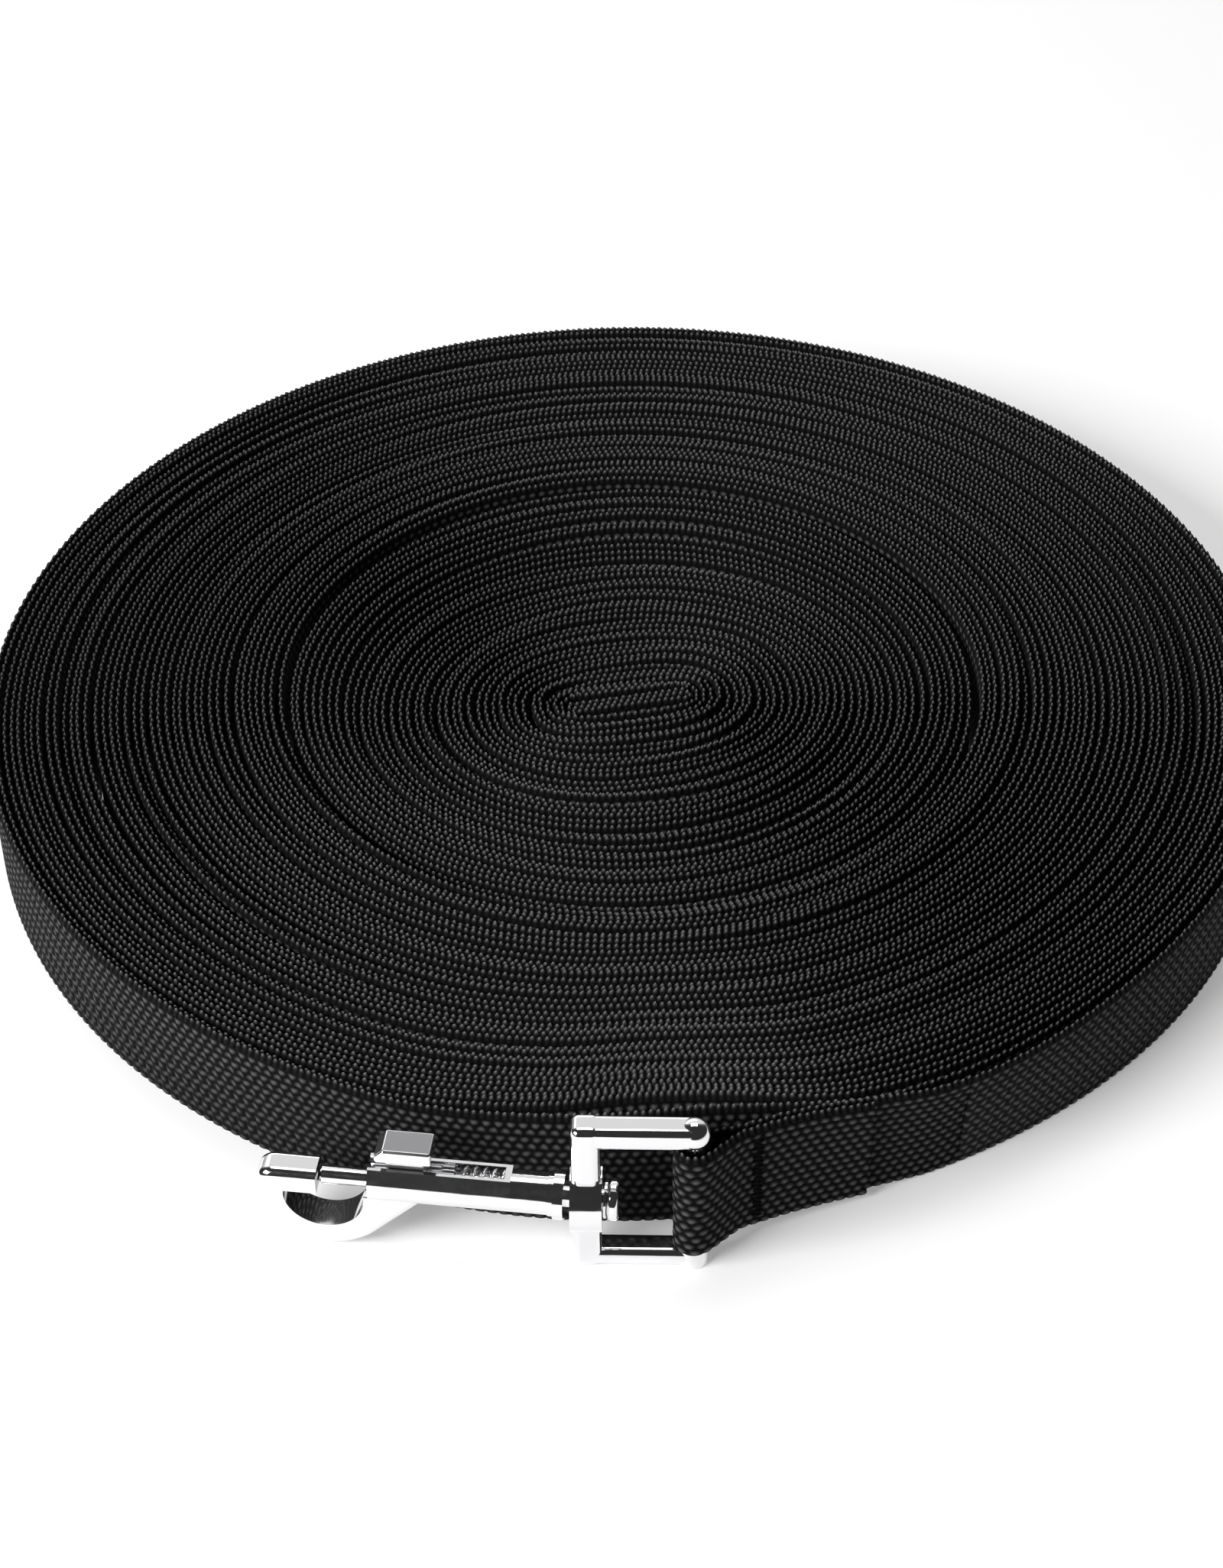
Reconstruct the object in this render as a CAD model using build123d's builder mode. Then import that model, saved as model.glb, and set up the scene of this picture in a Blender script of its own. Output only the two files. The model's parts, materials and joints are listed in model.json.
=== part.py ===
from build123d import *
import os
from math import cos, radians, sin

os.makedirs("parts", exist_ok=True)

# A training lead: one long flat strap wound on edge into a flat coil, with a swivel bolt snap sewn on
# its outer end. Millimetres, +Z up, origin under the middle of the coil on the surface it lies on.
# The snap lies along the coil's -Y side with its hook towards -X.

# ---------------------------------------------------------------- driving dimensions: strap and coil
strap_width = 20.0
strap_thickness = 1.05
coil_radius = 105.9
core_centre = (0.0, -8.0)
core_tilt = 10.0
handle_length = 19.4
handle_thickness = 4.2
handle_tack_length = 12.0
handle_tack_height = 14.0
thread_proud = 0.35
core_clearance = 0.15
ridge_inner_radius = 57.0
ridge_outer_radius = 74.0
ridge_slope = 6.0
ridge_rise = 1.0
groove_depth = 0.6

# ---------------------------------------------------------------- driving dimensions: swivel eye
bar_offset = 8.74
coil_to_bar = 6.1
bar_diameter = 3.2
eye_yaw = 1.5
eye_reach = 15.0
eye_depth = 4.4
top_arm_height = 3.8
bottom_arm_height = 3.0
window_clearance = 0.3
cheek_thickness = 4.2
cheek_proud = 0.15
boss_thickness = 4.5
boss_diameter = 10.0
bar_section_radius = 1.25
arm_end_diameter = 4.6
swivel_height = 12.4
swivel_hole_diameter = 4.3

# ---------------------------------------------------------------- driving dimensions: strap at the eye
bar_clearance = 0.3
tail_angle = 27.0
tail_length = 37.5
loop_length = 7.0
fold_length = 27.5
tack_width = 1.7
tack_margin = 2.0
loop_tack_place = 9.6

# ---------------------------------------------------------------- driving dimensions: bolt snap
hook_yaw = 7.2
stem_diameter = 3.3
collar_diameter = 7.1
collar_thickness = 1.5
collar_gap = 0.75
lip_diameter = 6.3
lip_length = 0.8
barrel_diameter = 6.0
barrel_length = 25.5
plug_diameter = 4.0
plug_length = 4.0
rail_height = 3.4
rail_width = 3.3
slot_width = 2.3
slot_back = 6.1
rail_lead = 0.9
washer_diameter = 5.6
washer_thickness = 0.35
washer_clearance = 0.05
head_diameter = 6.1
head_thickness = 1.65
head_rounding = 0.6
rivet_gap = 0.4

bolt_diameter = 2.6
bolt_clearance = 0.1
bolt_nose_gap = 0.35
bolt_length = 19.1
bolt_tip_chamfer = 0.25

hook_outer_radius = 10.0
hook_eye_radius = 5.8
hook_thickness = 4.8
hook_drop = 2.2
hook_reach = 6.5
nose_rise = 1.9
nose_clearance = 0.35
nose_length_gap = 7.45
hook_edge_rounding = 1.3
nose_rounding = 2.6
web_start = 6.2
web_radius = 1.4

tab_length = 8.1
tab_width = 4.6
tab_thickness = 2.4
tab_lift = 2.2
tab_back_from_tip = 8.3
tab_chamfer = 1.3
tab_rounding = 0.45
stem_clearance = 0.2
stem_inset = 1.4
tab_seat_height = 0.9
peg_diameter = 1.2
peg_length = 1.5

wire_diameter = 0.4
spring_turns = 7
spring_clearance = 0.15

# ---------------------------------------------------------------- places worked out from those sizes
bar_radius = bar_diameter / 2
bar_place = (bar_offset, -(coil_radius + coil_to_bar))
strap_lift = bottom_arm_height + window_clearance
window_top = strap_lift + strap_width + window_clearance
eye_height = window_top + top_arm_height

tail_direction = Vector(cos(radians(tail_angle)), sin(radians(tail_angle)), 0)
eye_direction = Vector(-cos(radians(eye_yaw)), sin(radians(eye_yaw)), 0)
hook_direction = Vector(-cos(radians(hook_yaw)), sin(radians(hook_yaw)), 0)
up = Vector(0, 0, 1)

bar_foot = Vector(bar_place[0], bar_place[1], 0)
swivel_centre = bar_foot + eye_direction * eye_reach + up * swivel_height

eye_side = Plane(origin=bar_foot, x_dir=eye_direction, z_dir=eye_direction.cross(up))
hook_side = Plane(origin=swivel_centre, x_dir=hook_direction, z_dir=hook_direction.cross(up))


def eye_section(reach, height):
    """A plane across the eye at a distance from the bar and a height above the floor."""
    place = eye_side.from_local_coords(Vector(reach, height, 0))
    return Plane(origin=place, x_dir=eye_side.z_dir, z_dir=eye_direction)


def hook_section(reach):
    """A plane across the snap's barrel at a distance from the swivel's centre."""
    return Plane(origin=swivel_centre + hook_direction * reach, x_dir=-hook_side.z_dir, z_dir=hook_direction)


def tail_section(reach, side):
    """A plane across the strap's tail, at a distance from the bar and to one side of its middle."""
    across = tail_direction.cross(up)
    rise = strap_lift * (tail_length - reach) / (tail_length - loop_length)
    place = bar_foot + tail_direction * reach - across * side + up * (rise + strap_width / 2)
    return Plane(origin=place, x_dir=across, z_dir=tail_direction)


# The snap's stations, measured along its axis from the swivel's centre towards the hook.
collar_back = boss_thickness / 2 + collar_gap
collar_front = collar_back + collar_thickness
barrel_back = collar_front + lip_length
barrel_front = barrel_back + barrel_length
plug_front = collar_front + plug_length
slot_end = barrel_back + slot_back
nose_face = barrel_front + nose_length_gap
bolt_tip = nose_face - bolt_nose_gap
bolt_back = bolt_tip - bolt_length
tab_front = bolt_tip - tab_back_from_tip
tab_back = tab_front - tab_length
washer_front = -(boss_thickness / 2 + rivet_gap)
washer_back = washer_front - washer_thickness
head_front = washer_back - washer_clearance
hook_middle = barrel_front + hook_reach
bore_diameter = bolt_diameter + 2 * bolt_clearance
gate_floor = bolt_diameter / 2 + nose_clearance

# The strap's loop round the bar and its two layers.
loop_inner = bar_radius + bar_clearance
loop_outer = loop_inner + strap_thickness
loop_floor = Plane(
    origin=(bar_place[0], bar_place[1], strap_lift),
    x_dir=tail_direction,
    z_dir=(0, 0, 1),
)

# ---------------------------------------------------------------- webbing tail: the layer next to the coil
with BuildPart() as webbing_tail:
    for reach in (loop_length, tail_length):
        with BuildSketch(tail_section(reach, strap_thickness / 2)):
            Rectangle(strap_thickness, strap_width)
    loft()
webbing_tail.part.label = "webbing_tail"

# ---------------------------------------------------------------- eye loop: round the bar and back along the tail
with BuildPart() as eye_loop:
    with BuildSketch(loop_floor):
        Circle(loop_outer)
        with Locations((loop_length - strap_thickness / 2, 0)):
            Rectangle(strap_thickness, 2 * strap_thickness)
        make_hull()
    extrude(amount=strap_width)
    with BuildSketch(loop_floor):
        Circle(loop_inner)
        with Locations((loop_length - 2 * strap_thickness, 0)):
            Circle(strap_thickness / 8)
        make_hull()
    extrude(amount=strap_width, mode=Mode.SUBTRACT)
    for reach in (loop_length, fold_length):
        with BuildSketch(tail_section(reach, -strap_thickness / 2)):
            Rectangle(strap_thickness, strap_width)
    loft()
eye_loop.part.label = "eye_loop"

# ---------------------------------------------------------------- bar tacks through the two layers at the eye
with BuildPart() as loop_stitching:
    for middle in (loop_tack_place, fold_length - tack_margin):
        section = tail_section(middle, -(strap_thickness + thread_proud / 2))
        with BuildSketch(section.offset(-tack_width / 2)):
            Rectangle(thread_proud, strap_width - 2 * tack_margin)
        extrude(amount=tack_width)
loop_stitching.part.label = "loop_stitching"

# ---------------------------------------------------------------- hand loop, folded flat in the coil's core
core_floor = Plane(
    origin=(core_centre[0], core_centre[1], 0),
    x_dir=(cos(radians(core_tilt)), sin(radians(core_tilt)), 0),
    z_dir=(0, 0, 1),
)

with BuildPart() as handle_loop:
    with BuildSketch(core_floor):
        SlotOverall(handle_length, handle_thickness)
    extrude(amount=strap_width)
handle_loop.part.label = "handle_loop"

with BuildPart() as handle_stitching:
    tack_floor = core_floor.offset((strap_width - handle_tack_height) / 2)
    with BuildSketch(tack_floor):
        with GridLocations(0, handle_thickness + thread_proud, 1, 2):
            Rectangle(handle_tack_length, thread_proud)
    extrude(amount=handle_tack_height)
handle_stitching.part.label = "handle_stitching"

# ---------------------------------------------------------------- the coil's outer shape, round its core
with BuildPart() as webbing_coil:
    with BuildSketch(Plane.XZ):
        with BuildLine():
            Polyline(
                (0, 0),
                (coil_radius, 0),
                (coil_radius, strap_width),
                (ridge_outer_radius + ridge_slope, strap_width),
                (ridge_outer_radius, strap_width + ridge_rise),
                (ridge_inner_radius + ridge_slope, strap_width + ridge_rise),
                (ridge_inner_radius, strap_width - groove_depth),
                (ridge_inner_radius - ridge_slope, strap_width),
                (0, strap_width),
                close=True,
            )
        make_face()
    revolve(axis=Axis.Z)
    with BuildSketch(core_floor):
        core_gap = 2 * (thread_proud + core_clearance)
        SlotOverall(handle_length + core_gap, handle_thickness + core_gap)
    extrude(amount=strap_width + ridge_rise, mode=Mode.SUBTRACT)
    add(webbing_tail.part, mode=Mode.SUBTRACT)
    add(eye_loop.part, mode=Mode.SUBTRACT)
    add(loop_stitching.part, mode=Mode.SUBTRACT)
webbing_coil.part.label = "webbing_coil"

# ---------------------------------------------------------------- swivel eye: a cast rectangle with a drilled boss
arm_height = top_arm_height - cheek_proud
arm_depth = eye_depth - 2 * cheek_proud
arm_rounding = bar_section_radius - cheek_proud
cheek_foot = eye_side.from_local_coords(Vector(eye_reach, 0, 0))
bar_floor = Plane(origin=bar_foot + up * cheek_proud, x_dir=eye_direction, z_dir=(0, 0, 1))

with BuildPart() as eye_frame:
    # The cheek that carries the swivel, standing a little proud of the arms all round.
    with BuildSketch(Plane(origin=cheek_foot, x_dir=eye_direction, z_dir=(0, 0, 1))):
        Rectangle(cheek_thickness, eye_depth)
    extrude(amount=eye_height)
    fillet(eye_frame.edges(), bar_section_radius)
    # The two arms, from the cheek's middle to the bar.
    with BuildSketch(eye_section(0, window_top + arm_height / 2)):
        RectangleRounded(arm_depth, arm_height, arm_rounding)
    extrude(amount=eye_reach)
    with BuildSketch(eye_section(0, (bottom_arm_height + cheek_proud) / 2)):
        RectangleRounded(arm_depth, bottom_arm_height - cheek_proud, arm_rounding)
    extrude(amount=eye_reach)
    # The bar inside the strap's loop, with the arms' rounded ends over and under it.
    with BuildSketch(bar_floor):
        Circle(bar_radius)
    extrude(amount=window_top - cheek_proud + arm_height / 2)
    with Locations(eye_section(0, window_top + arm_height / 2).origin):
        Sphere(arm_end_diameter / 2)
    with BuildSketch(bar_floor):
        Circle(arm_end_diameter / 2)
    extrude(amount=bottom_arm_height - 2 * cheek_proud)
    # The boss and the swivel hole through it.
    with BuildSketch(eye_section(eye_reach - boss_thickness / 2, swivel_height)):
        Circle(boss_diameter / 2)
    extrude(amount=boss_thickness)
    with BuildSketch(eye_section(eye_reach - boss_thickness, swivel_height)):
        Circle(swivel_hole_diameter / 2)
    extrude(amount=2 * boss_thickness, mode=Mode.SUBTRACT)
eye_frame.part.label = "eye_frame"

# ---------------------------------------------------------------- hook casting: barrel, rails, web and hook
with BuildPart() as hook_body:
    # The flat hook and its nose, with the web that runs back under the barrel.
    with BuildSketch(hook_side) as hook_profile:
        with Locations((hook_middle, -hook_drop)):
            Circle(hook_outer_radius)
        with Locations((barrel_front - web_start, web_radius - barrel_diameter / 2)):
            Circle(web_radius)
        make_hull()
        with Locations((hook_middle, nose_rise)):
            Rectangle(
                4 * hook_outer_radius, hook_outer_radius, align=(Align.CENTER, Align.MIN), mode=Mode.SUBTRACT
            )
        nose_top = hook_profile.vertices().group_by(Axis.Y)[-1].sort_by(Axis.X)[-1]
        fillet(nose_top, nose_rounding)
    extrude(amount=hook_thickness / 2, both=True)
    outer_rim = hook_body.faces().sort_by(Axis(swivel_centre, hook_side.z_dir))
    fillet(outer_rim[0].edges() + outer_rim[-1].edges(), hook_edge_rounding)
    with BuildSketch(hook_side):
        with Locations((nose_face, -gate_floor)):
            Rectangle(nose_length_gap, hook_outer_radius, align=(Align.MAX, Align.MIN))
    extrude(amount=hook_thickness, both=True, mode=Mode.SUBTRACT)
    with BuildSketch(hook_side):
        with Locations((hook_middle, -hook_drop)):
            Circle(hook_eye_radius)
        with Locations((hook_middle, -gate_floor)):
            Rectangle(
                4 * hook_eye_radius, 2 * hook_eye_radius, align=(Align.CENTER, Align.MIN), mode=Mode.SUBTRACT
            )
    extrude(amount=hook_thickness, both=True, mode=Mode.SUBTRACT)
    # The barrel, with the lip crimped over the collar.
    with BuildSketch(hook_section(barrel_back)):
        Circle(barrel_diameter / 2)
    extrude(amount=barrel_length)
    with BuildSketch(hook_section(collar_front)):
        Circle(lip_diameter / 2)
    extrude(amount=lip_length)
    # The two rails on the barrel's top, drawn up out of its round sides, and the slot between them.
    with BuildSketch(hook_section(slot_end - rail_lead)):
        Circle(barrel_diameter / 2)
        Rectangle(rail_width, rail_height, align=(Align.CENTER, Align.MIN))
        make_hull()
    extrude(amount=barrel_front - slot_end + rail_lead)
    with BuildSketch(hook_section(slot_end)):
        Rectangle(slot_width, 2 * rail_height, align=(Align.CENTER, Align.MIN))
    extrude(amount=barrel_front - slot_end, mode=Mode.SUBTRACT)
    # The bore for the bolt and its spring, and the seat of the swivel post's plug behind it.
    with BuildSketch(hook_section(plug_front)):
        Circle(bore_diameter / 2)
    extrude(amount=barrel_front - plug_front, mode=Mode.SUBTRACT)
    with BuildSketch(hook_section(collar_front)):
        Circle(plug_diameter / 2)
    extrude(amount=plug_length, mode=Mode.SUBTRACT)
hook_body.part.label = "hook_body"

# ---------------------------------------------------------------- swivel post: plug, collar, stem and riveted head
with BuildPart() as swivel_post:
    with BuildSketch(hook_section(head_front - head_thickness)):
        Circle(head_diameter / 2)
    extrude(amount=head_thickness)
    fillet(swivel_post.edges(), head_rounding)
    with BuildSketch(hook_section(head_front)):
        Circle(stem_diameter / 2)
    extrude(amount=collar_back - head_front)
    with BuildSketch(hook_section(collar_back)):
        Circle(collar_diameter / 2)
    extrude(amount=collar_thickness)
    with BuildSketch(hook_section(collar_front)):
        Circle(plug_diameter / 2)
    extrude(amount=plug_length)
swivel_post.part.label = "swivel_post"

# ---------------------------------------------------------------- washer under the riveted head
with BuildPart() as rivet_washer:
    with BuildSketch(hook_section(washer_back)):
        Circle(washer_diameter / 2)
        Circle(stem_diameter / 2 + washer_clearance, mode=Mode.SUBTRACT)
    extrude(amount=washer_thickness)
rivet_washer.part.label = "rivet_washer"

# ---------------------------------------------------------------- sliding bolt, with a flat and a hole for the thumb tab
stem_back = tab_back + stem_inset
stem_front = tab_front - stem_inset
stem_middle = (stem_back + stem_front) / 2
stem_width = slot_width - 2 * stem_clearance
seat_floor = Plane(
    origin=hook_side.from_local_coords(Vector(stem_middle, tab_seat_height, 0)),
    x_dir=hook_direction,
    z_dir=(0, 0, 1),
)

with BuildPart() as sliding_bolt:
    with BuildSketch(hook_section(bolt_back)):
        Circle(bolt_diameter / 2)
    extrude(amount=bolt_length)
    chamfer(sliding_bolt.edges().filter_by(GeomType.CIRCLE), bolt_tip_chamfer)
    with BuildSketch(seat_floor):
        Rectangle(stem_front - stem_back, 2 * bolt_diameter)
    extrude(amount=bolt_diameter, mode=Mode.SUBTRACT)
    with BuildSketch(seat_floor):
        Circle(peg_diameter / 2)
    extrude(amount=-peg_length, mode=Mode.SUBTRACT)
sliding_bolt.part.label = "sliding_bolt"

# ---------------------------------------------------------------- thumb tab, its stem and the peg that holds it
tab_floor = rail_height + tab_lift
with BuildPart() as thumb_tab:
    with BuildSketch(hook_side):
        with BuildLine():
            Polyline(
                (tab_back, tab_floor),
                (tab_front, tab_floor),
                (tab_front, tab_floor + tab_thickness - tab_chamfer),
                (tab_front - tab_chamfer, tab_floor + tab_thickness),
                (tab_back, tab_floor + tab_thickness),
                close=True,
            )
        make_face()
    extrude(amount=tab_width / 2, both=True)
    fillet(thumb_tab.edges(), tab_rounding)
    with BuildSketch(seat_floor):
        Rectangle(stem_front - stem_back, stem_width)
    extrude(amount=tab_floor + tab_thickness / 2 - tab_seat_height)
    with BuildSketch(seat_floor):
        Circle(peg_diameter / 2)
    extrude(amount=-peg_length)
thumb_tab.part.label = "thumb_tab"

# ---------------------------------------------------------------- spring that pushes the bolt shut
spring_radius = (bore_diameter - wire_diameter) / 2 - spring_clearance
spring_room = bolt_back - plug_front - wire_diameter - 2 * spring_clearance
with BuildPart() as bolt_spring:
    with BuildLine() as wire_path:
        Helix(
            pitch=spring_room / spring_turns,
            height=spring_room,
            radius=spring_radius,
            center=hook_section(plug_front + wire_diameter / 2 + spring_clearance).origin,
            direction=hook_direction,
        )
    with BuildSketch(Plane(origin=wire_path.line @ 0, z_dir=wire_path.line % 0)):
        Circle(wire_diameter / 2)
    sweep(path=wire_path.line, is_frenet=True)
bolt_spring.part.label = "bolt_spring"

# ---------------------------------------------------------------- one file for each piece
pieces = [
    webbing_coil,
    handle_loop,
    handle_stitching,
    webbing_tail,
    eye_loop,
    loop_stitching,
    eye_frame,
    hook_body,
    swivel_post,
    rivet_washer,
    sliding_bolt,
    thumb_tab,
    bolt_spring,
]
for piece in pieces:
    export_step(piece.part, f"parts/{piece.part.label}.step")
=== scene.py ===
# %% [markdown]
# # A training lead wound into a flat coil
#
# A training lead is one very long flat strap with a snap hook on its outer end. For storing, the strap is
# wound on edge, so the coil is a flat disc whose top shows the woven edge of every turn. This notebook
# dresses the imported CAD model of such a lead: the metal snap keeps its CAD shape and gets a plated finish,
# and the strap, which CAD holds as a plain disc, is worked out here turn by turn.
#
# The CAD model is loaded first and never moved, so every size below can be compared with it.

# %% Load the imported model
import json

import bpy
import numpy as np
from mathutils import Matrix, Vector


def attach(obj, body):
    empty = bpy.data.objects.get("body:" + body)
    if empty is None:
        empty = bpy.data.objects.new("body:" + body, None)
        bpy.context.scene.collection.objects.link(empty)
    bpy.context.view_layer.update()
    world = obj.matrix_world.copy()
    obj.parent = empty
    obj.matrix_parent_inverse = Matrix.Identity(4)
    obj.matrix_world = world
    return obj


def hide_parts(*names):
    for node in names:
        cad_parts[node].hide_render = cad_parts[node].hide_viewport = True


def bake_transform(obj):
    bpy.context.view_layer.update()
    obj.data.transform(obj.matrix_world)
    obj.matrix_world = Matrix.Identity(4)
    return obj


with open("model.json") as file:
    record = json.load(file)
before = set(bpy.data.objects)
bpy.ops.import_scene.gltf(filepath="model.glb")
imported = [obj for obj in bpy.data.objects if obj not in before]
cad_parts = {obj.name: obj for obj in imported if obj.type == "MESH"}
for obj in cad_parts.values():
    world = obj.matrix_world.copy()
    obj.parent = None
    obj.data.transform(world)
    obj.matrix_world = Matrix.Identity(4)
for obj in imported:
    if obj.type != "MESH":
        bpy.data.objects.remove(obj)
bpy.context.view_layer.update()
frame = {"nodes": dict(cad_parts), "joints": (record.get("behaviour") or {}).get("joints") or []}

# %% [markdown]
# ## The camera
#
# A long lens about half a metre away looks down on the coil at some forty degrees, so that the rings look
# like ellipses but the near wall of the coil still shows. The camera could be aimed with a Track To
# constraint, but the small roll and yaw of a hand-held camera are easier to state as three angles and turned
# into a rotation matrix.

# %% Camera
camera_distance = 0.5256
camera_height_angle = np.radians(39.50)
camera_tilt = np.radians(40.04)
camera_turn = np.radians(-0.53)
camera_roll = np.radians(-0.79)

forward = np.array([
    np.sin(camera_turn) * np.cos(camera_tilt),
    np.cos(camera_turn) * np.cos(camera_tilt),
    -np.sin(camera_tilt),
])
level_right = np.cross(forward, [0, 0, 1])
level_right /= np.linalg.norm(level_right)
level_up = np.cross(level_right, forward)
camera_right = level_right * np.cos(camera_roll) + level_up * np.sin(camera_roll)
camera_up = level_up * np.cos(camera_roll) - level_right * np.sin(camera_roll)

camera_data = bpy.data.cameras.new("camera")
camera = bpy.data.objects.new("camera", camera_data)
bpy.context.scene.collection.objects.link(camera)
camera.matrix_world = Matrix((
    (camera_right[0], camera_up[0], -forward[0], 0.00074),
    (camera_right[1], camera_up[1], -forward[1], 0.00075 - camera_distance * np.cos(camera_height_angle)),
    (camera_right[2], camera_up[2], -forward[2], camera_distance * np.sin(camera_height_angle)),
    (0, 0, 0, 1),
))
camera_data.sensor_width = 36
camera_data.lens = 70.7
camera_data.clip_start = 0.01
bpy.context.scene.camera = camera
print("camera at", [round(c, 3) for c in camera.location])

# %% [markdown]
# ## The studio
#
# A glossy metal part shows the room more than itself. The plate on this snap shows three things: a white
# table below, a pale backdrop behind, and a dark room above and in front, which draws the dark bands. So the
# table is a large pale plane, and the room's grey depends on the direction: it is the dot product of the
# direction with one that points at the backdrop, turned into grey by a ramp. Only reflections and light see
# that room. A camera that looks past the table sees an even pale grey, which a Light Path node switches in.
# Three area lamps hang round the coil, the strongest at the left, and they are large, because small ones
# would leave hard shadows between the turns.

# %% Table, room and lamps
bpy.context.scene.view_settings.view_transform = "Standard"


def new_material(name):
    """A material with a fresh node tree, its Principled shader and its output."""
    material = bpy.data.materials.new(name)
    material.use_nodes = True
    return material, material.node_tree, material.node_tree.nodes["Principled BSDF"]


table_material, table_tree, table_shader = new_material("white_table")
table_shader.inputs["Base Color"].default_value = (0.70, 0.70, 0.70, 1)
table_shader.inputs["Roughness"].default_value = 0.6
table_shader.inputs["Emission Color"].default_value = (1, 1, 1, 1)
table_shader.inputs["Emission Strength"].default_value = 0.30

table_mesh = bpy.data.meshes.new("table")
table_size = 6.0
table_mesh.from_pydata(
    [(x * table_size, y * table_size, 0) for x, y in ((-1, -1), (1, -1), (1, 1), (-1, 1))], [], [(0, 1, 2, 3)]
)
table = bpy.data.objects.new("table", table_mesh)
table_mesh.materials.append(table_material)
bpy.context.scene.collection.objects.link(table)

world = bpy.data.worlds.new("room")
bpy.context.scene.world = world
world.use_nodes = True
room = world.node_tree
room_place = room.nodes.new("ShaderNodeTexCoord")
room_facing = room.nodes.new("ShaderNodeVectorMath")
room_facing.operation = "DOT_PRODUCT"
room_facing.inputs[1].default_value = (0.0, 0.94, 0.34)
room_ramp = room.nodes.new("ShaderNodeValToRGB")
room.links.new(room_place.outputs["Generated"], room_facing.inputs[0])
room.links.new(room_facing.outputs["Value"], room_ramp.inputs["Fac"])
seen_directly = room.nodes.new("ShaderNodeLightPath")
backdrop = room.nodes.new("ShaderNodeMix")
backdrop.data_type = "RGBA"
backdrop.inputs[7].default_value = (0.85, 0.85, 0.85, 1)
room.links.new(seen_directly.outputs["Is Camera Ray"], backdrop.inputs["Factor"])
room.links.new(room_ramp.outputs["Color"], backdrop.inputs[6])
room.links.new(backdrop.outputs[2], room.nodes["Background"].inputs["Color"])
room_ramp.color_ramp.elements[0].position = 0.0
room_ramp.color_ramp.elements[0].color = (0.03, 0.03, 0.03, 1)
room_ramp.color_ramp.elements[1].position = 0.80
room_ramp.color_ramp.elements[1].color = (0.80, 0.80, 0.80, 1)
for place, grey in ((0.50, 0.03), (0.66, 0.10)):
    step = room_ramp.color_ramp.elements.new(place)
    step.color = (grey, grey, grey, 1)


def soft_lamp(name, place, target, width, height, power):
    """A rectangular area lamp at a place, facing a target point."""
    data = bpy.data.lights.new(name, "AREA")
    data.shape = "RECTANGLE"
    data.size, data.size_y, data.energy = width, height, power
    lamp = bpy.data.objects.new(name, data)
    lamp.location = place
    lamp.rotation_euler = (Vector(target) - Vector(place)).to_track_quat("-Z", "Y").to_euler()
    bpy.context.scene.collection.objects.link(lamp)


soft_lamp("left_softbox", (-0.75, -0.55, 0.60), (0, -0.02, 0), 0.6, 0.4, 17)
soft_lamp("top_softbox", (0.0, 0.25, 0.95), (0, 0, 0), 0.7, 0.4, 2.6)
soft_lamp("back_softbox", (-0.25, 0.95, 0.55), (0, 0, 0), 1.1, 0.35, 2)

# %% [markdown]
# ## Where the strap runs
#
# Seen from above, the strap is a spiral. It starts round the folded hand loop as a long narrow ring and
# becomes a circle further out. The turns lie close on the near side and a little apart on the far side,
# because the middle of the coil sits off centre, and here and there a wider gap or a step shows where the
# winding was pulled up. A spiral curve object could only give even turns, so the spacing is integrated
# instead: the number of turns up to a ring is the sum of one over the local spacing.

# %% Spiral of the strap
millimetre = 0.001
strap_width = 20.0
strap_thickness = 0.98
first_ring = 6.9
last_ring = 106.0
leaving_angle = np.radians(-63.0)

gap_places = np.array([12.5, 23.0, 35.0, 46.5, 57.0, 66.0, 69.5, 79.0, 83.0, 89.0, 94.0])
gap_sizes = np.array([0.5, 0.5, 0.55, 0.5, 1.3, 0.7, 0.5, 0.8, 0.6, 0.75, 0.55])


def turn_spacing(ring):
    """Distance from one turn to the next: a slowly changing base plus a bell-shaped extra at each gap."""
    base = np.interp(ring, [6, 14, 40, 44, 56, 60, 106], [1.10, 1.30, 1.34, 1.46, 1.46, 1.17, 1.17])
    bells = np.exp(-(((ring[:, None] - gap_places) / 0.7) ** 2)) * gap_sizes
    return base + bells.sum(1)


ring_table = np.linspace(first_ring, last_ring, 20000)
turn_table = np.concatenate([[0], np.cumsum(np.diff(ring_table) / turn_spacing(ring_table[1:]))])
turn_count = turn_table[-1]
print("turns:", round(turn_count, 1))

# %% [markdown]
# The rings are not all circles about one point. A ring of a given size gets its own centre, its own
# difference between length and width, its own tilt, and near the middle a squarer end like that of a
# racetrack. On the near right side the outer rings are pressed flat by the strap's own tail.

# %% Ring shapes
tail_pressure = 0.9


def ring_centre_y(ring):
    """The centre moves from the origin for the outermost ring to 8.7 mm nearer for the inner ones."""
    return np.interp(ring, [0, 40, 47, 57, 80, 106], [-8.7, -8.7, -6.6, -3.2, -1.5, 0.0])


def side_pressure(angle, middle, width):
    """A bell over the angle between two directions, 1 at the middle and falling off over the width."""
    away = (angle - middle + np.pi) % (2 * np.pi) - np.pi
    return np.exp(-((away / width) ** 2))


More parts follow.
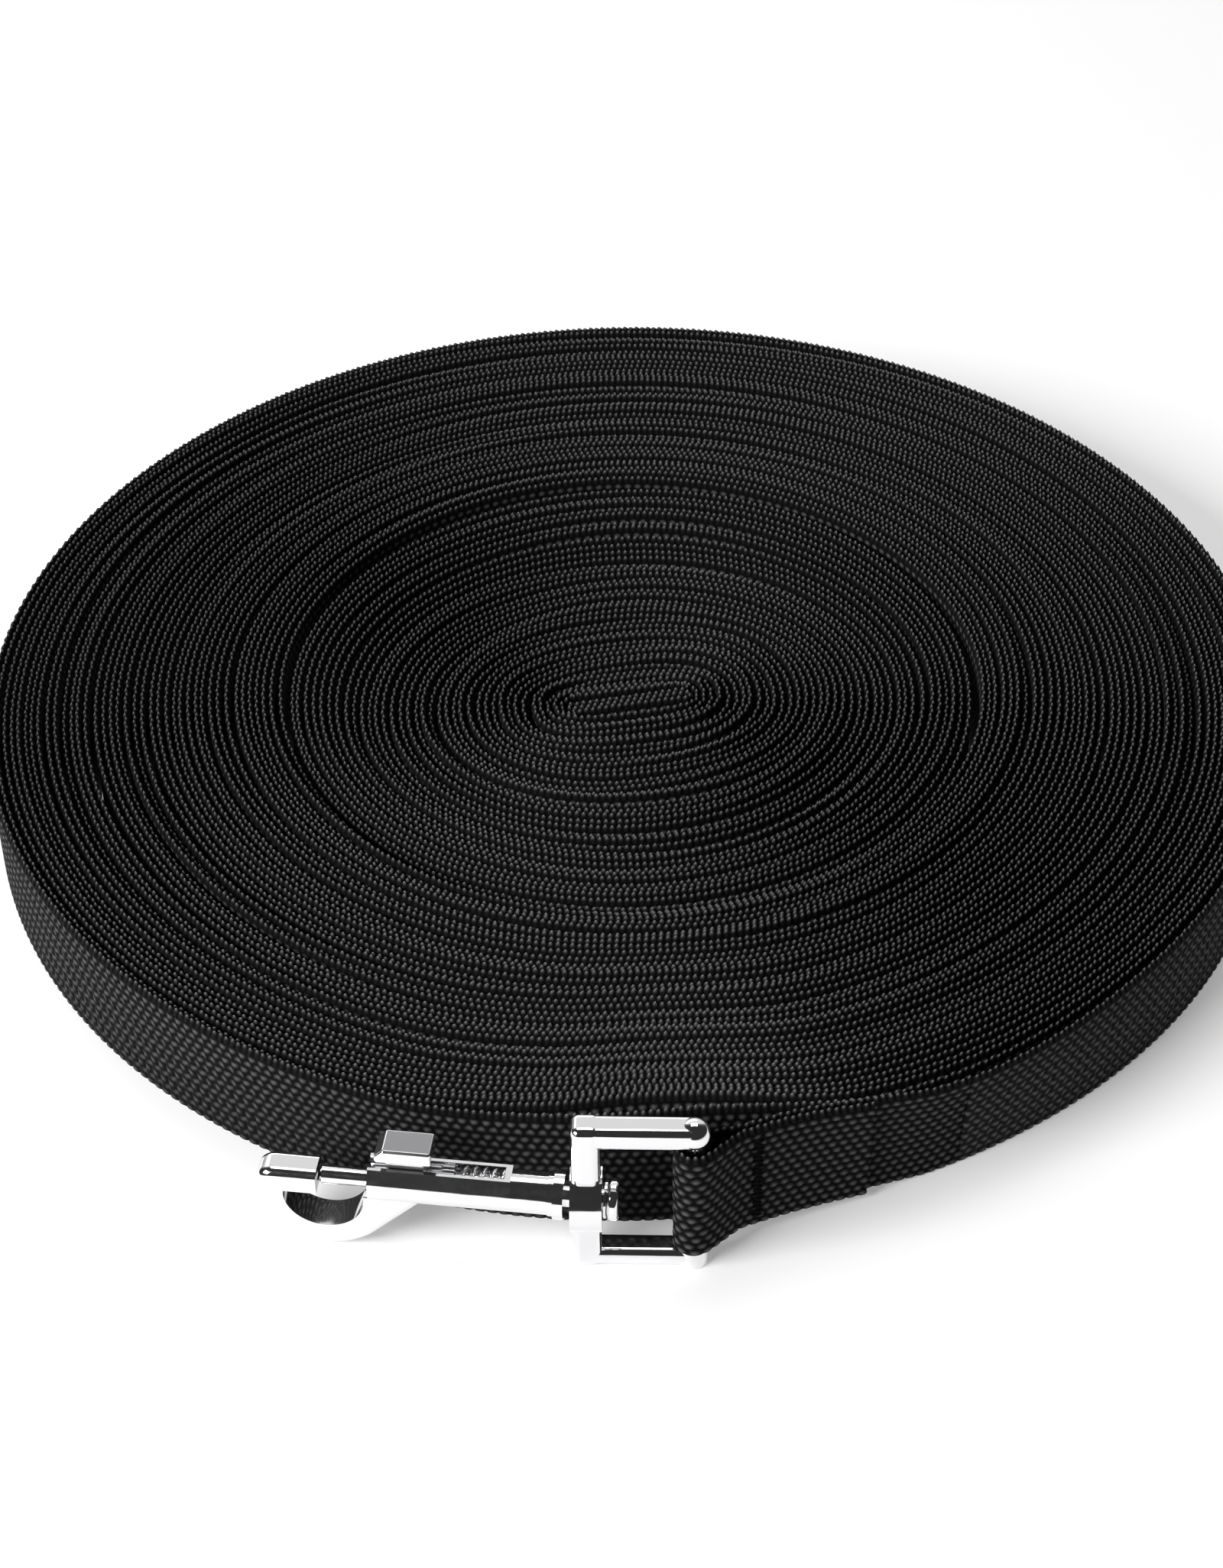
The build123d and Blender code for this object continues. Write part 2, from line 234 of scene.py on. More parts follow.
def ring_points(ring, angle):
    """Points on rings: centre plus a tilted superellipse whose half length is the ring size plus a stretch and
    whose half width is the ring size minus it, less the pressure of the tail on the outer rings."""
    stretch = 4.0 * np.clip(1 - (ring / 57.0) ** 2, 0, 1)
    power = 2 / np.interp(ring, [7, 14, 30], [3.0, 2.5, 2.0])
    tilt = np.radians(10.0)
    local = angle - tilt
    cosine, sine = np.cos(local), np.sin(local)
    outer_share = np.interp(ring, [75, 104], [0, 1])
    pressed = tail_pressure * side_pressure(angle, leaving_angle, np.radians(24)) * outer_share
    x = (ring + stretch - pressed) * np.sign(cosine) * np.abs(cosine) ** power
    y = (ring - stretch - pressed) * np.sign(sine) * np.abs(sine) ** power
    return np.stack([
        x * np.cos(tilt) - y * np.sin(tilt),
        x * np.sin(tilt) + y * np.cos(tilt) + ring_centre_y(ring),
    ], -1)


def spaced_evenly(points, step, *others):
    """Points a fixed step apart along a line, with any other values carried along, and the distance run."""
    run = np.concatenate([[0], np.cumsum(np.linalg.norm(np.diff(points, axis=0), axis=1))])
    at = np.linspace(0, run[-1], max(2, int(round(run[-1] / step)) + 1))
    line = np.stack([np.interp(at, run, points[:, k]) for k in range(points.shape[1])], -1)
    return (line, at, *[np.interp(at, run, o) for o in others])


def smoothed(values, window):
    """A running mean, with the ends held, that rounds the corners of a line."""
    padded = np.concatenate([np.repeat(values[:1], window, 0), values, np.repeat(values[-1:], window, 0)])
    kernel = np.ones(2 * window + 1) / (2 * window + 1)
    return np.stack([np.convolve(padded[:, k], kernel, "valid") for k in range(values.shape[1])], -1)


nub_length = 1.1
samples_per_nub = 3
rough_steps_per_turn = 2400
rough_turns = np.linspace(0, turn_count, int(turn_count * rough_steps_per_turn))
rough_angles = leaving_angle + 2 * np.pi * (turn_count - rough_turns)
rough_rings = np.interp(rough_turns, turn_table, ring_table)
coil_line, coil_run, coil_turns = spaced_evenly(
    ring_points(rough_rings, rough_angles), nub_length / samples_per_nub, rough_turns
)
coil_rings = np.interp(coil_turns, turn_table, ring_table)
coil_angles = leaving_angle + 2 * np.pi * (turn_count - coil_turns)
print("strap in the coil:", round(coil_run[-1] / 1000, 2), "m in", len(coil_line), "steps")

# %% [markdown]
# The top edges of the turns do not lie in one plane. A band of them stands up a millimetre, and single turns
# stand higher or lower by a few tenths. Behind the eye the turns are pushed inwards, so that a strip of wall
# shows between the last two, and where the tail leaves they are drawn outwards. These are heights and leans
# given as functions of the ring and the angle. Smooth unevenness is a sum of sine waves with fixed random
# phases, which gives the same coil on every run.

# %% Heights and leans of the turns
random = np.random.default_rng(11)
outward_lean_at_tail = 2.3
pushed_in_places = [252, 259, 265, 268, 271, 276, 281, 285, 289]
pushed_in_leans = [0, 1.9, 3.6, 5.4, 6.3, 5.7, 3.1, 0.6, 0]
last_turn_places = [244, 252, 257, 265, 270, 276, 284, 289, 294]
last_turn_leans = [0, -0.5, 0.2, 1.5, 2.3, 3.4, 1.2, -0.3, 0]


def uneven(ring, angle, ring_wave, count):
    """Smooth unevenness between about -1 and 1: a sum of sine waves across the rings and round the angle."""
    total = np.zeros_like(ring)
    for _ in range(count):
        across = 2 * np.pi / ring_wave * random.uniform(0.5, 1.6)
        total += np.sin(ring * across + random.integers(-3, 4) * angle + random.uniform(0, 2 * np.pi))
    return total / np.sqrt(count)


def top_height(ring, angle):
    """Height of a turn's top edge: the width, a raised band between two rings, a dip at the band's inner side
    and small unevenness from turn to turn."""
    band = np.clip((ring - 56.8) / 2.0, 0, 1) * np.clip((77 - ring) / 9.0, 0, 1)
    dip = np.exp(-(((ring - 55.5) / 1.8) ** 2))
    broad = 0.30 * uneven(ring, angle, 4.2, 7)
    narrow = 0.26 * uneven(ring, angle, 2.3, 7)
    return strap_width + 0.85 * band - 0.8 * dip + broad + narrow


def inward_lean(ring, angle):
    """How far a top edge leans towards the middle. Behind the eye the turns are pushed in, the outermost one
    less than the rest, and where the tail leaves, the last turns are drawn outwards instead."""
    degrees = np.degrees(angle) % 360
    last_turn = np.clip((ring - 103.95) / 0.7, 0, 1)
    pushed_in = np.interp(degrees, pushed_in_places, pushed_in_leans)
    least = np.interp(degrees, last_turn_places, last_turn_leans)
    shared = np.interp(ring, [60, 95, 103.6], [0, 0.62, 1.0])
    near_tail = side_pressure(angle, leaving_angle, np.radians(14))
    drawn_out = outward_lean_at_tail * near_tail * np.interp(ring, [100, 106], [0, 1])
    return shared * ((1 - last_turn) * pushed_in + last_turn * least) - drawn_out


coil_top = top_height(coil_rings, coil_angles)
coil_lean = smoothed(inward_lean(coil_rings, coil_angles)[:, None], 12)[:, 0]
coil_lean += 0.14 * uneven(coil_rings, coil_angles, 5, 6)
coil_top -= 0.55 * coil_lean**2 / strap_width
print("top edges from", round(coil_top.min(), 2), "to", round(coil_top.max(), 2), "mm")

# %% [markdown]
# ## The strap's surface
#
# Woven nylon strap has two kinds of surface. Its faces show rows of slanting oval yarn floats, and its edge
# shows one row of small nubs where the weft turns back. An array of modelled nubs would need tens of
# thousands of objects, and a bump map alone would leave each edge a smooth ribbon. So the nubs and floats
# are in the mesh: a cross-section is carried along the strap, and its outline swells at every nub.

# %% Cross-section carried along a line
float_length = 1.75
float_rows = 15
row_pitch = strap_width / float_rows
row_shift = 0.45
float_relief = 0.30
nub_drop = 0.52


def float_height(along, across):
    """Relief of the yarn floats, 0 to 1: the top of an ellipse in every cell of a grid whose rows are each
    shifted by a fraction of a cell against the last."""
    row = np.floor(across / row_pitch)
    in_cell = (along / float_length + row * row_shift) % 1.0
    in_row = (across / row_pitch) % 1.0
    return np.sqrt(np.clip(1 - 0.95 * (2 * in_cell - 1) ** 2 - 0.8 * (2 * in_row - 1) ** 2, 0, 1))


def nub_swell(along):
    """Swelling of the edge, 1 on a nub and 0 between two: half of one plus a cosine of the distance run."""
    return 0.5 + 0.5 * np.cos(2 * np.pi * along / nub_length)


def section_rows(fine_left, fine_right):
    """The outline of the cross-section as rows of (side, height kind, value): up one face, over the edge
    and down the other. Kind 0 is a fraction of the way up the face, kind 1 a drop below the top edge."""
    up = np.linspace(0.015, 0.93, 44)
    right = [(1.0, 0, h) for h in (up if fine_right else (0.015, 0.93))]
    left = [(-1.0, 0, h) for h in (up[::-1] if fine_left else (0.93, 0.015))]
    edge = [(0.86, 1, 0.58), (0.0, 1, 0.0), (-0.86, 1, 0.58)]
    return np.array(right + edge + left)


def strap_surface(line, run, low, high, lean, fine_left=False, fine_right=False):
    """Points and the strap's own coordinates for a strap standing on edge along a line.
    A point is the line plus its normal times (side times half the thickness, swollen by floats and nubs,
    less the lean times the square of the height fraction), at its height."""
    tangent = np.gradient(line, axis=0)
    tangent /= np.linalg.norm(tangent, axis=1)[:, None]
    left_of = np.stack([-tangent[:, 1], tangent[:, 0]], -1)
    rows = section_rows(fine_left, fine_right)
    side, kind, value = rows.T
    swell = nub_swell(run)[:, None]
    other_way = np.where(np.round(run / nub_length) % 2 == 0, 1.0, -1.0)[:, None]

    face_z = low[:, None] + (high - low)[:, None] * value
    edge_z = high[:, None] - value - nub_drop * (1 - swell)
    z = np.where(kind == 0, face_z, edge_z)
    across = np.where(kind == 0, strap_width * value, strap_width - value) + 0 * z
    floats = float_height(run[:, None], across) * (kind == 0)
    relief = (float_relief if fine_left or fine_right else 0.0) * floats
    nubs = np.where(kind == 1, -side * 0.16 * (1 - swell) + 0.10 * other_way * swell, 0.0)
    out = side * (strap_thickness / 2 - float_relief * 0.4) + side * relief + nubs
    upright = (z - low[:, None]) / (high - low)[:, None]
    out = out + (-lean[:, None]) * upright**2

    xy = line[:, None, :] + left_of[:, None, :] * out[:, :, None]
    points = np.concatenate([xy, z[:, :, None]], -1)
    # Painted shade: the third coordinate is 1 on the crown of the edge and 0.2 elsewhere, which darkens the colour on
    # the shoulders between the turns and also weakens the bump there.
    crown_weight_painted_shade = np.where(value == 0, 1.0, 0.2) + 0 * z
    place = np.stack([run[:, None] + 0 * z, across, crown_weight_painted_shade], -1)
    return points, place


# %% [markdown]
# A grid of points becomes a mesh when each point is joined to its neighbours. The outline is closed, so the
# last column joins the first, and the two ends get one many-sided face each. The strap's own coordinates
# (millimetres along, millimetres across, and a weight that is full on the crown of the edge and low on its
# shoulders, which paints shade between the turns) are stored as an attribute for the material to read,
# because the weave has to follow the strap round the coil.

# %% Mesh from a grid of points
def grid_faces(steps, columns):
    """Four-sided faces of a tube of rings: point j of ring i joins its next column and its next ring."""
    first = np.arange(steps - 1)[:, None] * columns + np.arange(columns)[None, :]
    ahead = np.arange(steps - 1)[:, None] * columns + (np.arange(columns)[None, :] + 1) % columns
    return np.stack([first, ahead, ahead + columns, first + columns], -1).reshape(-1, 4)


def enclosed_volume(points, quads):
    """Six times the volume inside a closed grid, from the triple products of its triangles."""
    a, b, c, d = (points[quads[:, k]] for k in range(4))
    return np.sum(a * np.cross(b, c)) + np.sum(a * np.cross(c, d))


def tube_object(name, points, place, material):
    """An object at the origin from rings of points: smooth faces between the rings and a flat cap at each end."""
    steps, columns = points.shape[:2]
    quads = grid_faces(steps, columns)
    flat = points.reshape(-1, 3)
    middle_point = flat.mean(0)
    caps = [np.arange(columns)[::-1], np.arange(columns) + (steps - 1) * columns]
    if enclosed_volume(flat - middle_point, quads) < 0:
        quads = quads[:, ::-1]
        caps = [c[::-1] for c in caps]
    mesh = bpy.data.meshes.new(name)
    mesh.vertices.add(len(flat))
    mesh.vertices.foreach_set("co", (flat * millimetre).astype(np.float32).ravel())
    corners = np.concatenate([quads.ravel(), *caps])
    mesh.loops.add(len(corners))
    mesh.loops.foreach_set("vertex_index", corners.astype(np.int32))
    starts = np.concatenate([np.arange(len(quads)) * 4, len(quads) * 4 + np.array([0, columns])])
    mesh.polygons.add(len(starts))
    mesh.polygons.foreach_set("loop_start", starts.astype(np.int32))
    mesh.update(calc_edges=True)
    mesh.polygons.foreach_set("use_smooth", np.arange(len(starts)) < len(quads))
    strap_place = mesh.attributes.new("strap_place", "FLOAT_VECTOR", "POINT")
    strap_place.data.foreach_set("vector", place.reshape(-1).astype(np.float32))
    mesh.materials.append(material)
    made = bpy.data.objects.new(name, mesh)
    bpy.context.scene.collection.objects.link(made)
    return made


print("points in a cross-section:", [len(section_rows(False, fine)) for fine in (False, True)])

# %% [markdown]
# ## Black webbing
#
# The strap is dyed black polyester or nylon. What the eye sees is a small dark grey highlight on every raised
# yarn and deep black shade between them, with hardly any gloss; both are painted into the colour here. The
# pattern is a node group, because the sewing thread uses the same fibres at another size. It gives a colour
# with a painted highlight on the yarns and painted shade in the gaps, a roughness that is lowest on the
# yarns, and a height with the fine fibres and the yarn floats.

# %% Node group for woven yarn
weave = bpy.data.node_groups.new("woven_yarn", "ShaderNodeTree")
weave.interface.new_socket("Fibre Scale", in_out="INPUT", socket_type="NodeSocketFloat")
weave.interface.new_socket("Gap Shade Color", in_out="INPUT", socket_type="NodeSocketColor")
weave.interface.new_socket("Yarn Highlight Color", in_out="INPUT", socket_type="NodeSocketColor")
weave.interface.new_socket("Color", in_out="OUTPUT", socket_type="NodeSocketColor")
weave.interface.new_socket("Roughness", in_out="OUTPUT", socket_type="NodeSocketFloat")
weave.interface.new_socket("Height", in_out="OUTPUT", socket_type="NodeSocketFloat")


def add_node(tree, kind, **values):
    """A new node with its properties set from the keywords."""
    node = tree.nodes.new(kind)
    for key, value in values.items():
        setattr(node, key, value)
    return node


def maths(tree, operation, *inputs):
    """A Math node. Each input is a number or the output of another node."""
    node = add_node(tree, "ShaderNodeMath", operation=operation)
    for socket, value in zip(node.inputs, inputs):
        if isinstance(value, (int, float)):
            socket.default_value = value
        else:
            tree.links.new(value, socket)
    return node.outputs[0]


weave_in = weave.nodes.new("NodeGroupInput")
weave_out = weave.nodes.new("NodeGroupOutput")
weave_place = add_node(weave, "ShaderNodeAttribute", attribute_name="strap_place")
weave_split = weave.nodes.new("ShaderNodeSeparateXYZ")
weave.links.new(weave_place.outputs["Vector"], weave_split.inputs[0])
along, across, crown_weight_painted_shade = weave_split.outputs

# %% [markdown]
# The floats and the nubs repeat the same sums that shaped the mesh, so the two lie on top of each other. On a
# face the oval is raised to a power, which keeps the painted highlight to its middle. The fibres are a noise
# squeezed to long thin streaks along the yarn.

# %% Floats and fibres in the group
def plus(a, b):
    """The sum of two values in the woven_yarn group."""
    return maths(weave, "ADD", a, b)


def minus(a, b):
    """The difference of two values in the woven_yarn group."""
    return maths(weave, "SUBTRACT", a, b)


def times(a, b):
    """The product of two values in the woven_yarn group."""
    return maths(weave, "MULTIPLY", a, b)


def bow(part):
    """Nought in the middle of a cell and one at its ends: the square of twice the part less one."""
    return maths(weave, "POWER", minus(times(part, 2.0), 1.0), 2.0)


rows_up = maths(weave, "DIVIDE", across, row_pitch)
cells_along = maths(weave, "DIVIDE", along, float_length)
cell_part = maths(weave, "FRACT", plus(cells_along, times(maths(weave, "FLOOR", rows_up), row_shift)))
row_part = maths(weave, "FRACT", rows_up)
oval_square = minus(minus(1.0, times(bow(cell_part), 0.95)), times(bow(row_part), 0.8))
oval = maths(weave, "SQRT", maths(weave, "MAXIMUM", oval_square, 0.0))
on_face = maths(weave, "LESS_THAN", across, strap_width - 1.2)
nub = plus(0.5, times(0.5, maths(weave, "COSINE", times(along, 2 * np.pi / nub_length))))
# On the edge, the nub times the crown weight paints a highlight on each nub's crown and shade on its shoulders.
raised = plus(
    times(maths(weave, "POWER", oval, 3.0), times(on_face, 0.66)),
    times(times(nub, crown_weight_painted_shade), minus(1.0, on_face)),
)

fibre_place = weave.nodes.new("ShaderNodeCombineXYZ")
weave.links.new(times(along, 0.9), fibre_place.inputs[0])
weave.links.new(times(across, 5.0), fibre_place.inputs[1])
fibres = add_node(weave, "ShaderNodeTexNoise", noise_dimensions="2D")
fibres.inputs["Detail"].default_value = 2.0
weave.links.new(fibre_place.outputs[0], fibres.inputs["Vector"])
weave.links.new(weave_in.outputs["Fibre Scale"], fibres.inputs["Scale"])

# Painted light: this mix paints a highlight on the middle of every float and the crown of every nub, and paints shade
# in the gaps between them.
weave_color = add_node(weave, "ShaderNodeMix", data_type="RGBA")
weave.links.new(maths(weave, "POWER", raised, 2.2), weave_color.inputs["Factor"])
weave.links.new(weave_in.outputs["Gap Shade Color"], weave_color.inputs[6])
weave.links.new(weave_in.outputs["Yarn Highlight Color"], weave_color.inputs[7])
weave.links.new(weave_color.outputs[2], weave_out.inputs["Color"])
yarn_roughness = plus(minus(0.80, times(raised, 0.45)), times(fibres.outputs[0], 0.2))
weave.links.new(yarn_roughness, weave_out.inputs["Roughness"])
yarn_height = plus(times(raised, 0.8), times(fibres.outputs[0], 0.3))
weave.links.new(yarn_height, weave_out.inputs["Height"])
print("group sockets:", [s.name for s in weave.interface.items_tree])


# %% [markdown]
# Each cloth material places the group, feeds its colour and roughness to the shader and its height through
# a Bump node. The bump distance is a fifth of a millimetre, the thickness of a few fibres.

# %% Webbing and thread materials
def cloth_material(name, fibre_scale, gap_shade_color, yarn_highlight_color, bump_strength):
    """A woven material: the woven_yarn group feeding a Principled shader."""
    material, tree, shader = new_material(name)
    group = add_node(tree, "ShaderNodeGroup", node_tree=weave)
    group.inputs["Fibre Scale"].default_value = fibre_scale
    group.inputs["Gap Shade Color"].default_value = gap_shade_color
    group.inputs["Yarn Highlight Color"].default_value = yarn_highlight_color
    bump = add_node(tree, "ShaderNodeBump")
    bump.inputs["Strength"].default_value = bump_strength
    bump.inputs["Distance"].default_value = 0.0002
    tree.links.new(group.outputs["Color"], shader.inputs["Base Color"])
    tree.links.new(group.outputs["Roughness"], shader.inputs["Roughness"])
    tree.links.new(group.outputs["Height"], bump.inputs["Height"])
    tree.links.new(bump.outputs["Normal"], shader.inputs["Normal"])
    shader.inputs["Specular IOR Level"].default_value = 0.12
    return material


# The webbing's bright yarn colour is a painted highlight and its near-black gap colour is painted shade; the thread has
# the same, much weaker.
webbing_material = cloth_material(
    "black_webbing", 2.2, gap_shade_color=(0.0004, 0.0004, 0.0005, 1), yarn_highlight_color=(0.185, 0.185, 0.188, 1), bump_strength=0.9
)
thread_material = cloth_material(
    "black_thread", 6.0, gap_shade_color=(0.001, 0.001, 0.001, 1), yarn_highlight_color=(0.010, 0.010, 0.0105, 1), bump_strength=0.5
)
print("cloth materials ready")

# %% [markdown]
# ## The turns of the coil
#
# The whole strap in one mesh would be over a million triangles, so the spiral is cut into lengths that meet
# end to end. Only the outermost turn, and the stretch of the turn inside it that the gap behind the eye lays
# bare, show their faces, so only those get the finer cross-section with real floats.

# %% Coil pieces
fine_from = turn_count - 1.0
bowed_from, bowed_to = turn_count - 2.04, turn_count - 1.78
coarse_cuts = np.interp(np.linspace(0, 1, 7), np.linspace(0, 1, len(coil_turns)), coil_turns)
coarse_cuts = coarse_cuts[coarse_cuts < bowed_from - 0.5]
coil_parts = [(a, b, False) for a, b in zip(coarse_cuts, [*coarse_cuts[1:], bowed_from])]
coil_parts += [(bowed_from, bowed_to, True), (bowed_to, fine_from, False), (fine_from, turn_count, True)]

for number, (start, end, fine) in enumerate(coil_parts, 1):
    first, last = np.searchsorted(coil_turns, [start, end])
    part = slice(first, min(last + 1, len(coil_turns)))
    count = len(coil_line[part])
    points, place = strap_surface(
        coil_line[part], coil_run[part], np.zeros(count), coil_top[part], coil_lean[part], fine_left=fine
    )
    piece = tube_object(f"coil_turns_{number:02d}", points, place, webbing_material)
    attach(piece, "webbing")
    print(piece.name, "turns", round(start, 1), "to", round(end, 1), "faces", len(piece.data.polygons))
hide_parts("webbing_coil")

# %% [markdown]
# ## The strap's end at the eye
#
# The last stretch leaves the coil, rises a few millimetres off the table, goes round the eye's bar and is
# folded back on itself and sewn. It is the same cross-section along a line of two straight runs joined by
# an arc. The line is worked out in its own directions, along the tail and across it, from the bar's centre,
# which the hinge joint in the frame states. Towards the coil the line and the lean change smoothly to those
# of the last turn, so that the two pieces meet without a step.

# %% Line of the tail and its fold
eye_joint = next(j for j in frame["joints"] if j["name"] == "eye_swing")
bar_centre = np.array(eye_joint["pos_m"][:2]) / millimetre
tail_angle = np.radians(27.0)
tail_along = np.array([np.cos(tail_angle), np.sin(tail_angle)])
tail_across = np.array([-np.sin(tail_angle), np.cos(tail_angle)])
bar_loop_radius = 2.42
layer_offset = 0.525
strap_lift = 3.3
flat_from = 7.0
straight_to = 12.0
tail_end = 37.5
fold_end = 27.5

to_layers = np.hypot(flat_from, layer_offset)
touch_angle = np.arctan2(layer_offset, flat_from) + np.arccos(bar_loop_radius / to_layers)
arc_angles = np.linspace(touch_angle, 2 * np.pi - touch_angle, 60)
arc = bar_loop_radius * np.stack([np.cos(arc_angles), np.sin(arc_angles)], -1)
join_reach = -bar_centre @ tail_along
corners = np.concatenate([
    [[join_reach, layer_offset], [tail_end, layer_offset], [flat_from, layer_offset]],
    arc,
    [[flat_from, -layer_offset], [fold_end, -layer_offset]],
])

tail_local, tail_run = spaced_evenly(corners, nub_length / samples_per_nub)
tail_local[3:-3] = smoothed(tail_local, 3)[3:-3]
away = np.clip((tail_local[:, 0] - straight_to) / (join_reach - straight_to), 0, 1)
away = away**2 * (3 - 2 * away)
straight_line_distance = np.linalg.norm(bar_centre + join_reach * tail_along) - layer_offset
tail_local[:, 1] -= away * (np.linalg.norm(coil_line[-1]) - straight_line_distance)
tail_lean = outward_lean_at_tail * away * np.sign(np.gradient(tail_local[:, 0]))
tail_line = bar_centre + tail_local[:, :1] * tail_along + tail_local[:, 1:] * tail_across
tail_low = strap_lift * np.clip((tail_end - tail_local[:, 0]) / (tail_end - flat_from), 0, 1)
print("tail and fold:", round(tail_run[-1], 1), "mm")

# %% [markdown]
# Both faces of this stretch show, one in front and one through the eye, so it has floats on both sides.

# %% Tail and fold piece
tail_points, tail_place = strap_surface(
    tail_line, tail_run + coil_run[-1], tail_low, tail_low + strap_width,
    tail_lean, fine_left=True, fine_right=True,
)
tail_piece = tube_object("tail_and_fold", tail_points, tail_place, webbing_material)
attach(tail_piece, "webbing")
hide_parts("webbing_tail", "eye_loop")
print("tail_and_fold faces:", len(tail_piece.data.polygons))

# %% [markdown]
# ## The hand loop in the middle
#
# The other end of the strap is sewn into a hand loop, which is folded flat and is what the coil was started
# round. From above it is four straight layers in a slit. Its line runs to and fro with half circles
# between, like a folded ruler.

# %% Hand loop
loop_tilt = np.radians(10.0)
core_centre = np.array([0.0, -8.0])
half_run = 10.1
layer_places = (-1.95, -0.55, 0.50, 1.95)
bend_angles = np.linspace(-np.pi / 2, np.pi / 2, 9)
fold_line = []
for layer in range(4):
    y = layer_places[layer]
    way = 1 if layer % 2 == 0 else -1
    fold_line += [(-way * (half_run - 0.6), y), (way * (half_run - 0.6), y)]
    if layer < 3:
        bend = (layer_places[layer + 1] - y) / 2
        fold_line += [
            (way * (half_run - 0.6 + bend * np.cos(b)), y + bend * (1 + np.sin(b))) for b in bend_angles[1:-1]
        ]
fold_local, fold_run = spaced_evenly(np.array(fold_line), nub_length / samples_per_nub)
turn_by_tilt = np.array([[np.cos(loop_tilt), np.sin(loop_tilt)], [-np.sin(loop_tilt), np.cos(loop_tilt)]])
loop_line = core_centre + fold_local @ turn_by_tilt
loop_top = strap_width + 0.35 * np.sin(fold_run / 9.0) - 0.2
flat_floor = np.zeros(len(loop_line))
loop_points, loop_place = strap_surface(loop_line, fold_run, flat_floor, loop_top, flat_floor)
loop_piece = tube_object("hand_loop", loop_points, loop_place, webbing_material)
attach(loop_piece, "webbing")
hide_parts("handle_loop")
print("hand loop:", round(fold_run[-1], 1), "mm")

# %% [markdown]
# ## Sewn bar tacks
#
# A bar tack is a block of zigzag stitches that closes the fold. Each is a round thread carried along a
# zigzag line that lies on the strap's face. A curve object with a round bevel would do, but the same ring
# helper as the strap's keeps it a closed mesh at the origin.

# %% Thread along a line
def thread_points(line, radius, columns=6):
    """Rings of points round a line in space: the line plus the radius times a circle in the plane across it."""
    tangent = np.gradient(line, axis=0)
    tangent /= np.linalg.norm(tangent, axis=1)[:, None]
    side = np.cross(tangent, [0.3, 0.2, 0.93])
    side /= np.linalg.norm(side, axis=1)[:, None]
    other = np.cross(tangent, side)
    angle = np.linspace(0, 2 * np.pi, columns, endpoint=False)
    around = side[:, None, :] * np.cos(angle)[:, None] + other[:, None, :] * np.sin(angle)[:, None]
    return line[:, None, :] + radius * around


def bar_tack(name, foot, along_dir, out_dir, width, bottom, top, replaces_node):
    """A zigzag of thread: side to side over the width while rising from bottom to top, each stitch bowed
    outwards like half a sine wave."""
    stitch_count = int((top - bottom) / 0.42)
    turn = np.linspace(0, stitch_count, stitch_count * 8 + 1)
    swing = 2 * np.abs((turn / 2) % 1 - 0.5) * 2 - 1
    out = 0.10 + 0.16 * np.cos(swing * np.pi / 2)
    line = (
        np.asarray(foot) + np.outer(swing * width / 2, along_dir) + np.outer(out, out_dir)
        + np.outer(bottom + (top - bottom) * turn / stitch_count, [0, 0, 1])
    )
    rings = thread_points(line, 0.17)
    place = np.zeros(rings.shape)
    place[..., 0] = turn[:, None]
    place[..., 2] = 0.8
    made = tube_object(name, rings, place, thread_material)
    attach(made, "webbing")
    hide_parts(replaces_node)


tail_along_3d = np.append(tail_along, 0)
tail_front_3d = np.append(-tail_across, 0)
for number, reach in enumerate((9.6, 25.5), 1):
    foot = np.append(bar_centre + tail_along * reach - tail_across * (layer_offset + strap_thickness / 2), 0)
    lift_here = strap_lift * np.clip((tail_end - reach) / (tail_end - flat_from), 0, 1)
    bar_tack(
        f"eye_tack_{number}", foot, tail_along_3d, tail_front_3d,
        width=1.5, bottom=lift_here + 2, top=lift_here + 18, replaces_node="loop_stitching",
    )
loop_out_3d = np.array([-np.sin(loop_tilt), np.cos(loop_tilt), 0])
loop_along_3d = np.array([np.cos(loop_tilt), np.sin(loop_tilt), 0])
hand_tack_offset = 2.07
for number, way in enumerate((1, -1), 1):
    foot = np.append(core_centre, 0) + loop_out_3d * way * hand_tack_offset
    bar_tack(
        f"hand_tack_{number}", foot, loop_along_3d, loop_out_3d * way,
        width=11.5, bottom=3.5, top=16.5, replaces_node="handle_stitching",
    )
print("tacks made")

# %% [markdown]
# ## Plated metal
#
# The eye and the snap are zinc castings with a bright plate, and the bolt and rivet are turned steel with
# the same plate. Bright plate is a smooth metal, but a casting is never quite flat: its reflections swim.
# That needs a very low, very broad bump and a little variation in the roughness, with fine polishing marks.
# The group is shared, because the thumb tab has the same plate; the tab's top above a given height gets a
# greyer colour, which is painted shade standing in for a dimmer reflection there.

# %% Node group for bright plate
plate = bpy.data.node_groups.new("bright_plate", "ShaderNodeTree")
plate.interface.new_socket("Wave Size", in_out="INPUT", socket_type="NodeSocketFloat")
plate.interface.new_socket("Low Roughness", in_out="INPUT", socket_type="NodeSocketFloat")
plate.interface.new_socket("Roughness", in_out="OUTPUT", socket_type="NodeSocketFloat")
plate.interface.new_socket("Height", in_out="OUTPUT", socket_type="NodeSocketFloat")
plate_in = plate.nodes.new("NodeGroupInput")
plate_out = plate.nodes.new("NodeGroupOutput")
plate_place = plate.nodes.new("ShaderNodeTexCoord")
waves = plate.nodes.new("ShaderNodeTexNoise")
waves.inputs["Detail"].default_value = 1.0
specks = plate.nodes.new("ShaderNodeTexNoise")
specks.inputs["Scale"].default_value = 1400
specks.inputs["Detail"].default_value = 3.0
plate.links.new(plate_place.outputs["Object"], waves.inputs["Vector"])
